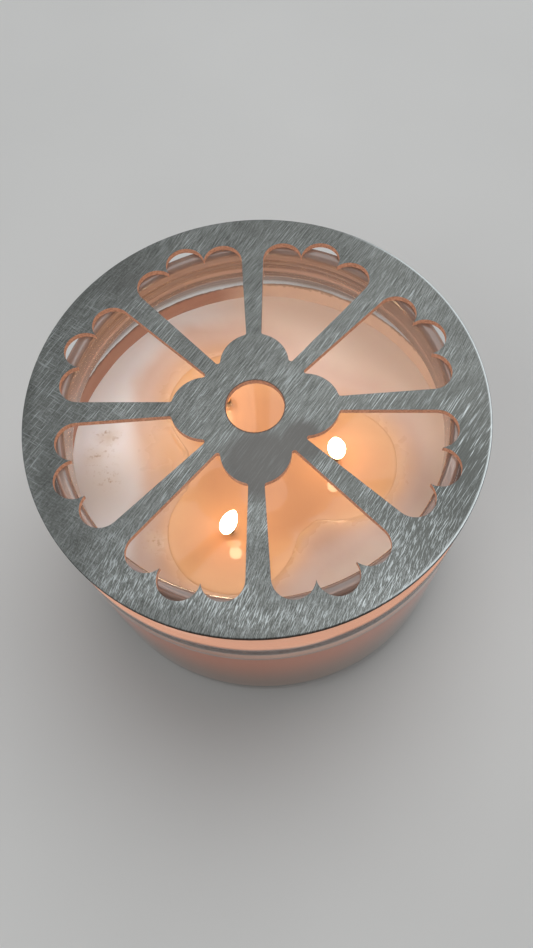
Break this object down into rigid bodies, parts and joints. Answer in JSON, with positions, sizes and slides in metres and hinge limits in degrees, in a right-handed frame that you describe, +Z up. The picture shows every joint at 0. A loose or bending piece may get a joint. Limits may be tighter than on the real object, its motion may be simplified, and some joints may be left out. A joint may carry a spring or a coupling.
{
  "type": "jar candle with cut-out topper",
  "caption": "Filled glass jar candle with several wicks under a flat round steel plate cut with petal openings round a lobed hub",
  "frame": {"origin": "centre of the jar's foot, on the surface it stands on", "axes": "+Z up along the jar's axis; the plate's straight spokes lie along X and Y"},
  "size_m": [0.104, 0.104, 0.0735],
  "materials": {
    "clear_glass": "clear and glossy",
    "solid_wax": "pale pinkish-white wax, satin",
    "liquid_wax": "clear molten wax, wet gloss",
    "cotton_wick": "braided cotton with a charred tip",
    "tin_plate": "bright tinned steel",
    "adhesive_dot": "matt foam dot",
    "brushed_plate": "hand-brushed steel with crossing scratches"
  },
  "bodies": {
    "candle": {"glass_jar": "clear_glass", "wax_fill": "solid_wax", "melt_pool": "liquid_wax", "wax_residue_ring": "solid_wax", "wick_1": "cotton_wick", "wick_tab_1": "tin_plate", "wick_sticker_1": "adhesive_dot", "wick_2": "cotton_wick", "wick_tab_2": "tin_plate", "wick_sticker_2": "adhesive_dot", "wick_3": "cotton_wick", "wick_tab_3": "tin_plate", "wick_sticker_3": "adhesive_dot"},
    "topper": {"flower_topper": "brushed_plate"}
  },
  "joints": [
    {"name": "topper_lift", "type": "slide", "parent": "candle", "child": "topper", "axis": [0, 0, 1], "range_m": [0, 0.06]}
  ]
}
